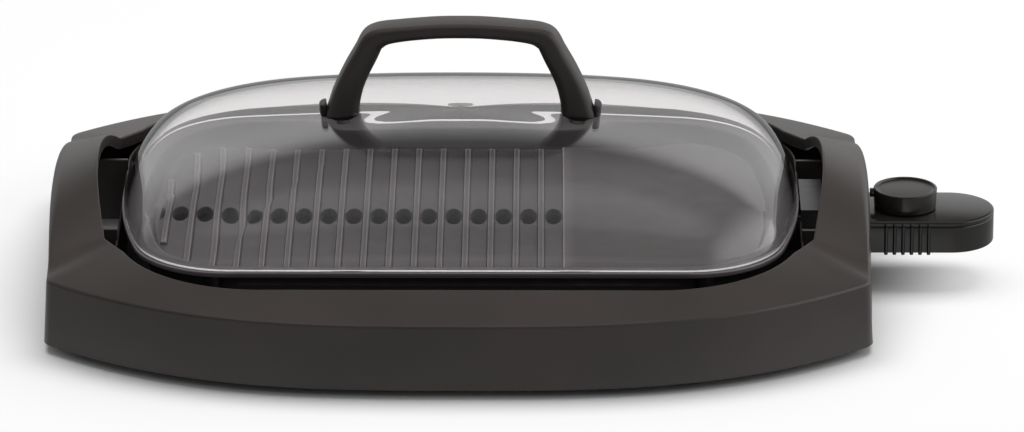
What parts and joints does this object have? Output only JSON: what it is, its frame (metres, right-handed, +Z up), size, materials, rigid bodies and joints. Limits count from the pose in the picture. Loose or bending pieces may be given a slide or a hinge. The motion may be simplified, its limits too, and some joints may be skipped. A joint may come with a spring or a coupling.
{
  "type": "electric indoor grill with lid",
  "caption": "Tabletop electric grill: moulded base with two arched grips, part ribbed and part flat plate, domed glass lid with bridge handle, plug-in thermostat controller",
  "frame": {"origin": "on the table, under the middle of the whole grill with its controller plugged in", "axes": "+X to the controller's side, +Y to the back, +Z up; the front edge faces -Y"},
  "size_m": [0.5894, 0.4278, 0.1687],
  "materials": {
    "body_plastic": "satin dark brown-black moulded plastic",
    "floor_plastic": "matt black moulded plastic",
    "fastener_steel": "zinc plated steel",
    "tray_plastic": "black heat-proof moulded plastic",
    "foot_rubber": "moulded rubber",
    "support_resin": "phenolic moulding",
    "plate_coating": "dark grey non-stick coating on cast aluminium",
    "element_sheath": "heat-dulled steel sheath",
    "clamp_steel": "pressed sheet",
    "pin_nickel": "nickel plated",
    "ceramic": "unglazed ceramic",
    "shroud_steel": "satin grey sheet",
    "lid_glass": "clear tempered glass",
    "handle_plastic": "satin dark brown-black moulded plastic",
    "pad_rubber": "dark moulded pad",
    "washer_rubber": "soft washer",
    "case_plastic": "glossy black moulded plastic",
    "contact_brass": "brass",
    "probe_steel": "polished stainless tube",
    "lens_red": "translucent red lens",
    "knob_plastic": "glossy black moulded plastic"
  },
  "bodies": {
    "base": {"base_housing": "body_plastic", "base_floor": "floor_plastic", "floor_screws": "fastener_steel", "drip_tray": "tray_plastic", "foot_front_left": "foot_rubber", "foot_front_right": "foot_rubber", "foot_rear_left": "foot_rubber", "foot_rear_right": "foot_rubber", "foot_screws": "fastener_steel", "plate_supports": "support_resin", "support_screws": "fastener_steel", "grill_plate": "plate_coating", "heating_element": "element_sheath", "element_clamps": "clamp_steel", "clamp_screws": "fastener_steel", "terminal_pins": "pin_nickel", "pin_insulators": "ceramic", "terminal_shroud": "shroud_steel", "shroud_screws": "fastener_steel"},
    "lid": {"lid_glass": "lid_glass", "lid_handle": "handle_plastic", "handle_pad_left": "pad_rubber", "handle_pad_right": "pad_rubber", "lid_screws": "fastener_steel", "lid_washers": "washer_rubber"},
    "controller": {"controller_lower_case": "case_plastic", "controller_cover": "case_plastic", "contact_block": "ceramic", "socket_contacts": "contact_brass", "probe_tube": "probe_steel", "thermostat_frame": "clamp_steel", "thermostat_blades": "contact_brass", "indicator_lens": "lens_red", "cord_gland": "foot_rubber", "case_screws": "fastener_steel"},
    "knob": {"control_knob": "knob_plastic", "knob_shaft": "fastener_steel"}
  },
  "joints": [
    {"name": "lid_lift", "type": "slide", "parent": "base", "child": "lid", "axis": [0, 0, 1], "range_m": [0, 0.12]},
    {"name": "controller_unplug", "type": "slide", "parent": "base", "child": "controller", "axis": [1, 0, 0], "range_m": [0, 0.12]},
    {"name": "knob_turn", "type": "hinge", "parent": "controller", "child": "knob", "pos_m": [0.2392, 0, 0.0469], "axis": [0, 0, 1], "range_deg": [0, 270]}
  ]
}
